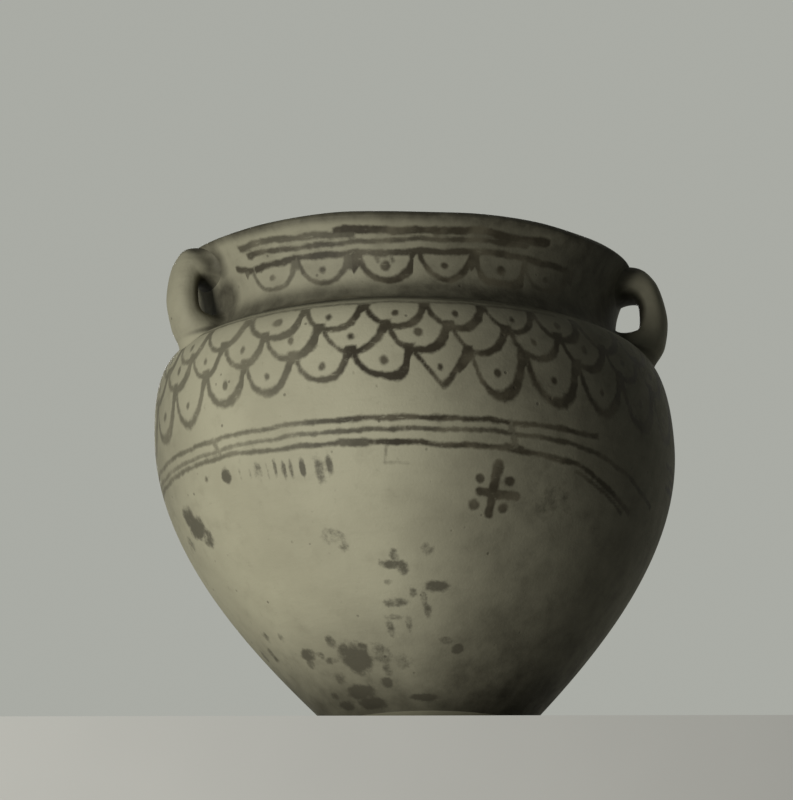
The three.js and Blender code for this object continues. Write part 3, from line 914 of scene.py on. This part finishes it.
def rise(term, low, high):
    """Goes smoothly from 0 to 1 as the term goes from low to high."""
    settings = {"interpolation_type": "SMOOTHSTEP"}
    return term.node("ShaderNodeMapRange", settings, (term, low, high, 0.0, 1.0))


def showing(term, low, high, most):
    """Goes smoothly from 0 to the most as the term goes from low to high."""
    return rise(term, low, high) * most


def ragged(term, rag):
    """A value made ragged by a noise, whose middle is a half."""
    return term + RAG * (rag - 0.5)


def blend(factor, first, second):
    """Mixes two colours, which are the node's inputs 6 and 7 and its output 2."""
    return factor.node("ShaderNodeMix", {"data_type": "RGBA"}, {0: factor, 6: first, 7: second}, 2)


def noise(spot, size, detail, roughness):
    """Soft noise, 0 to 1, whose lumps are about as large as the size in millimetres."""
    values = {"Vector": spot, "Scale": 1.0 / size, "Detail": detail, "Roughness": roughness}
    return spot.node("ShaderNodeTexNoise", None, values)


def shifted(spot, offset):
    """The same place moved by an offset, to take another part of a noise."""
    return spot.node("ShaderNodeVectorMath", {"operation": "ADD"}, (spot, offset))


def squeezed(spot, factors):
    """The same place with its axes scaled, to stretch a noise."""
    return spot.node("ShaderNodeVectorMath", {"operation": "MULTIPLY"}, (spot, factors))


def carried(tree, field):
    """A value that the mesh carries at its points."""
    return tree.node("ShaderNodeAttribute", {"attribute_name": field}, output="Fac")


def place_on(tree):
    """The place on the piece, in millimetres."""
    return squeezed(tree.node("ShaderNodeTexCoord", output="Object"), (1.0 / MM,) * 3)


def new_material(name):
    """A material without nodes, and its tree."""
    material = bpy.data.materials.new(name)
    material.use_nodes = True
    material.node_tree.nodes.clear()
    return material, Term(material.node_tree)


# Colours, as the old print has them
CLAY_PALE = (0.350, 0.335, 0.236, 1.0)
CLAY_DULL = (0.262, 0.248, 0.172, 1.0)
CLAY_DARK = (0.115, 0.106, 0.074, 1.0)
# The dark colour of soot and painted shade
SOOT_AND_SHADE = (0.048, 0.044, 0.030, 1.0)
STAIN = (0.060, 0.055, 0.038, 1.0)
PAINT = (0.034, 0.029, 0.018, 1.0)
PAINT_THIN = (0.085, 0.076, 0.050, 1.0)
SHELF_PALE, SHELF_DARK = (0.52, 0.52, 0.485, 1.0), (0.4836, 0.4836, 0.45105, 1.0)
BACKGROUND, WEAK_LIGHT, WEAK_STRENGTH = (0.40, 0.41, 0.375, 1.0), (0.95, 0.98, 1.0, 1.0), 0.045
LAMP_LIGHT = (1.0, 0.99, 0.96)

# Noises: the size of their lumps in millimetres, detail and roughness. The clay's are slow changes of tone,
# mottle, grain, a wiping cloth's marks and pitted places, and the shelf has a mottle.
TONE_NOISE, MOTTLE_NOISE, GRAIN_NOISE = (46.0, 4.0, 0.55), (9.0, 5.0, 0.6), (1.1, 3.0, 0.6)
WIPE_NOISE, PITTED_NOISE, SHELF_NOISE = (1.6, 4.0, 0.6), (14.0, 2.0, 0.5), (60.0, 4.0, 0.5)
# The paint's are ragged stains and edges, a dry brush's marks and thin places
STAIN_NOISE, EDGE_NOISE = (4.2, 5.0, 0.65), (2.6, 3.0, 0.5)
DRY_NOISE, THIN_NOISE = (1.9, 4.0, 0.65), (12.0, 3.0, 0.5)
# What two of them are stretched by, the less the longer, so that they come out as streaks round the pot
WIPE_STRETCH, DRY_STRETCH = (0.16, 0.16, 1.0), (0.5, 0.5, 1.2)
# Over which of its values each comes in or goes, and for the first four also how strong it is at most
TONE_SHOWS, MOTTLE_SHOWS, WIPE_SHOWS = (0.38, 0.70, 0.55), (0.5, 0.78, 0.45), (0.5, 0.8, 0.2)
STAIN_SHOWS, PITTED_SPAN, PIT_SPAN = (0.16, 0.82, 0.85), (0.52, 0.62), (0.05, 0.14)
EDGE_SPAN, DRY_SPAN, THIN_SPAN = (-0.5, 0.95), (0.56, 0.76), (0.40, 0.66)
# How far apart pits can be, how dark they are, and how ragged stains and strokes are
PIT_SPACING, PIT_DARKNESS, RAG = 6.25, 0.7, 1.5
# How much of the soot and painted shade shows where the mottle is 0, and how much more where it is 1
SOOT_AND_SHADE_LEAST, SOOT_AND_SHADE_MORE = 0.62, 0.76
# How much of the paint a dry brush leaves out where it is thick, and how much more where it is thin
DRY_LEAST, DRY_MORE = 0.15, 0.5
# The clay's roughness, how much the mottle and the paint change it, its sheen, and the shelf's roughness
ROUGHNESS, MOTTLE_ROUGHNESS, PAINT_SMOOTHNESS, SHEEN, SHELF_ROUGHNESS = 0.66, 0.14, 0.06, 0.14, 0.85
# How far grain, wiping marks and mottle stand out and pits go in, and the bump's strength and depth
GRAIN_RELIEF, WIPE_RELIEF, MOTTLE_RELIEF, PIT_RELIEF = 0.5, 0.5, 0.8, 1.2
BUMP_STRENGTH, BUMP_DEPTH = 0.35, 0.5 * MM

# The photograph's view, in metres and pixels: where the camera stands and what it looks at, the distance
# from its lens to its picture, and the picture's longer side
CAMERA_PLACE, CAMERA_TARGET = (0.0, -1.339, -0.225), (-0.0143, 0.0, 0.150)
FOCAL_PIXELS, PICTURE_PIXELS, SENSOR_WIDTH, FARTHEST = 3270.3, 800.0, 36.0, 20.0
# The shelf's front edge, back edge, half length and thickness, and the two lamps: place, size and watts
SHELF_FRONT, SHELF_BACK, SHELF_HALF, SHELF_THICKNESS = -0.080, 1.2, 1.6, 0.12
LAMP_TARGET = (0.0, 0.0, 0.10)
KEY_LAMP, BACK_LAMP = ((-1.08, -1.20, -0.25), 0.8, 27.0), ((-0.15, 1.75, 0.9), 0.8, 26.0)


def clay_material(name, with_paint):
    """Unglazed burnished clay with wiping marks, pits, soot and painted shade, and dark brushwork where it is
    painted.
    """
    material, tree = new_material(name)
    spot = place_on(tree)

    mottle = noise(shifted(spot, (31.0, 7.0, 19.0)), *MOTTLE_NOISE)
    grain = noise(spot, *GRAIN_NOISE)
    wipe = noise(squeezed(spot, WIPE_STRETCH), *WIPE_NOISE)
    colour = blend(showing(noise(spot, *TONE_NOISE), *TONE_SHOWS), CLAY_PALE, CLAY_DULL)
    colour = blend(showing(mottle, *MOTTLE_SHOWS), colour, CLAY_DULL)
    colour = blend(showing(wipe, *WIPE_SHOWS), colour, CLAY_DULL)
    cells = tree.node("ShaderNodeTexVoronoi", None, {"Vector": spot, "Scale": 1.0 / PIT_SPACING})
    pitted = rise(noise(shifted(spot, (5.0, 50.0, 9.0)), *PITTED_NOISE), *PITTED_SPAN)
    pits = (1.0 - rise(cells, *PIT_SPAN)) * pitted
    colour = blend(pits * PIT_DARKNESS, colour, CLAY_DARK)
    # Soot and painted shade from the points' field darken the colour, patchy with the mottle
    soot_and_shade_cover = carried(tree, "soot_and_shade") * (SOOT_AND_SHADE_LEAST + SOOT_AND_SHADE_MORE * mottle)
    colour = blend(soot_and_shade_cover, colour, SOOT_AND_SHADE)
    rough = ROUGHNESS + MOTTLE_ROUGHNESS * (mottle - 0.5)
    height = GRAIN_RELIEF * grain + WIPE_RELIEF * wipe + MOTTLE_RELIEF * mottle - PIT_RELIEF * pits

    if with_paint:
        stain = ragged(carried(tree, "stain"), noise(shifted(spot, (3.0, 2.0, 1.0)), *STAIN_NOISE))
        colour = blend(showing(stain, *STAIN_SHOWS), colour, STAIN)
        gap = ragged(carried(tree, "paint_gap"), noise(shifted(spot, (0.0, 0.0, 90.0)), *EDGE_NOISE))
        laid = 1.0 - rise(gap, *EDGE_SPAN)
        dry = rise(noise(squeezed(spot, DRY_STRETCH), *DRY_NOISE), *DRY_SPAN)
        thin = rise(noise(shifted(spot, (9.0, 9.0, 70.0)), *THIN_NOISE), *THIN_SPAN)
        worn = dry * (DRY_LEAST + DRY_MORE * thin)
        cover = laid * carried(tree, "paint_dark") * (1.0 - worn)
        colour = blend(cover, colour, blend(thin, PAINT, PAINT_THIN))
        rough = rough - PAINT_SMOOTHNESS * cover

    relief = {"Strength": BUMP_STRENGTH, "Distance": BUMP_DEPTH, "Height": height}
    bump = tree.node("ShaderNodeBump", None, relief)
    values = {"Base Color": colour, "Roughness": rough, "Normal": bump, "Specular IOR Level": SHEEN}
    shader = tree.node("ShaderNodeBsdfPrincipled", None, values)
    tree.node("ShaderNodeOutputMaterial", None, (shader,))
    return material


def shelf_material(name):
    """An even surface with a faint mottle, for what the pot stands on."""
    material, tree = new_material(name)
    tone = blend(noise(place_on(tree), *SHELF_NOISE), SHELF_PALE, SHELF_DARK)
    shader = tree.node("ShaderNodeBsdfPrincipled", None, {"Base Color": tone, "Roughness": SHELF_ROUGHNESS})
    tree.node("ShaderNodeOutputMaterial", None, (shader,))
    return material


def shelf(name):
    """The slab that the pot stands on. Its top is at height 0."""
    left, right = -SHELF_HALF, SHELF_HALF
    outline = ((left, SHELF_FRONT), (right, SHELF_FRONT), (right, SHELF_BACK), (left, SHELF_BACK))
    corners = [(x, y, z) for z in (-SHELF_THICKNESS, 0.0) for x, y in outline]
    faces = [(3, 2, 1, 0), (4, 5, 6, 7), (0, 1, 5, 4), (1, 2, 6, 5), (2, 3, 7, 6), (3, 0, 4, 7)]
    mesh = bpy.data.meshes.new(name)
    mesh.from_pydata(corners, [], faces)
    made = bpy.data.objects.new(name, mesh)
    bpy.context.scene.collection.objects.link(made)
    mesh.materials.append(shelf_material("shelf_paint"))


def area_light(name, position, size, watts):
    """A soft square lamp that looks at the pot."""
    data = bpy.data.lights.new(name, "AREA")
    data.shape = "SQUARE"
    data.size, data.energy, data.color = size, watts, LAMP_LIGHT
    lamp = bpy.data.objects.new(name, data)
    bpy.context.scene.collection.objects.link(lamp)
    aim(lamp, position, LAMP_TARGET)


def aim(thing, position, target):
    """Puts a camera or lamp at a place, looking at the target."""
    ahead = Vector(target) - Vector(position)
    thing.location = position
    thing.rotation_euler = ahead.to_track_quat("-Z", "Y").to_euler()


def camera():
    """The photograph's view: in front of the shelf, a little below it, looking up."""
    data = bpy.data.cameras.new("camera")
    data.sensor_width = SENSOR_WIDTH
    data.lens = FOCAL_PIXELS / PICTURE_PIXELS * SENSOR_WIDTH
    data.clip_end = FARTHEST
    made = bpy.data.objects.new("camera", data)
    bpy.context.scene.collection.objects.link(made)
    aim(made, CAMERA_PLACE, CAMERA_TARGET)
    bpy.context.scene.camera = made


def world():
    """Pale to the camera, and a weak even light for everything else."""
    made = bpy.data.worlds.new("world")
    bpy.context.scene.world = made
    made.use_nodes = True
    made.node_tree.nodes.clear()
    tree = Term(made.node_tree)
    seen = tree.node("ShaderNodeLightPath")
    glossy = tree.node("ShaderNodeLightPath", output="Is Glossy Ray")
    passing = tree.node("ShaderNodeLightPath", output="Is Transmission Ray")
    pale = tree.node("ShaderNodeBackground", None, (BACKGROUND, 1.0))
    weak = tree.node("ShaderNodeBackground", None, (WEAK_LIGHT, WEAK_STRENGTH))
    shows = seen.at_least(glossy).at_least(passing)
    mixed = tree.node("ShaderNodeMixShader", None, (shows, weak, pale))
    tree.node("ShaderNodeOutputWorld", None, (mixed,))


def build_pot():
    """Every piece of the pot, each in place of its solid."""
    painted = clay_material("painted_clay", True)
    plain = clay_material("plain_clay", False)
    foot, lower = arc_at(BASE_THICKNESS), arc_at(LOWER_JOINT)
    belly, shoulder = arc_at(BELLY_JOINT), arc_at(SHOULDER_JOINT)
    neck, rim = arc_at(NECK_JOINT), arc_at(RIM_JOINT)
    lip = arc_at(RIM_HEIGHT - LIP_WALL / 4)
    pieces = {
        "base_disc": (base_disc("fine_base_disc"), plain, "plain_clay"),
        "foot_course": (course("fine_foot_course", foot, lower, square_foot=True), painted, "plain_clay"),
        "lower_wall_course": (course("fine_lower_wall_course", lower, belly), painted, "plain_clay"),
        "belly_course": (course("fine_belly_course", belly, shoulder), painted, "painted_clay"),
        "shoulder_course": (course("fine_shoulder_course", shoulder, neck), painted, "painted_clay"),
        "neck_course": (course("fine_neck_course", neck, rim), painted, "painted_clay"),
        "rim_course": (course("fine_rim_course", rim, lip, lip=True), painted, "painted_clay"),
        "left_handle": (handle("fine_left_handle", LEFT_STAND_OFF, LEFT_TURN), plain, "handle_clay"),
        "right_handle": (handle("fine_right_handle", RIGHT_STAND_OFF, RIGHT_TURN), plain, "handle_clay"),
    }
    for node, (piece, material, slot) in pieces.items():
        piece.data.materials.append(material)
        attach(piece, "root")
        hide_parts(node)


camera()
world()
build_pot()
shelf("shelf")
bpy.context.scene.view_settings.view_transform = "Standard"
area_light("key", *KEY_LAMP)
area_light("back", *BACK_LAMP)
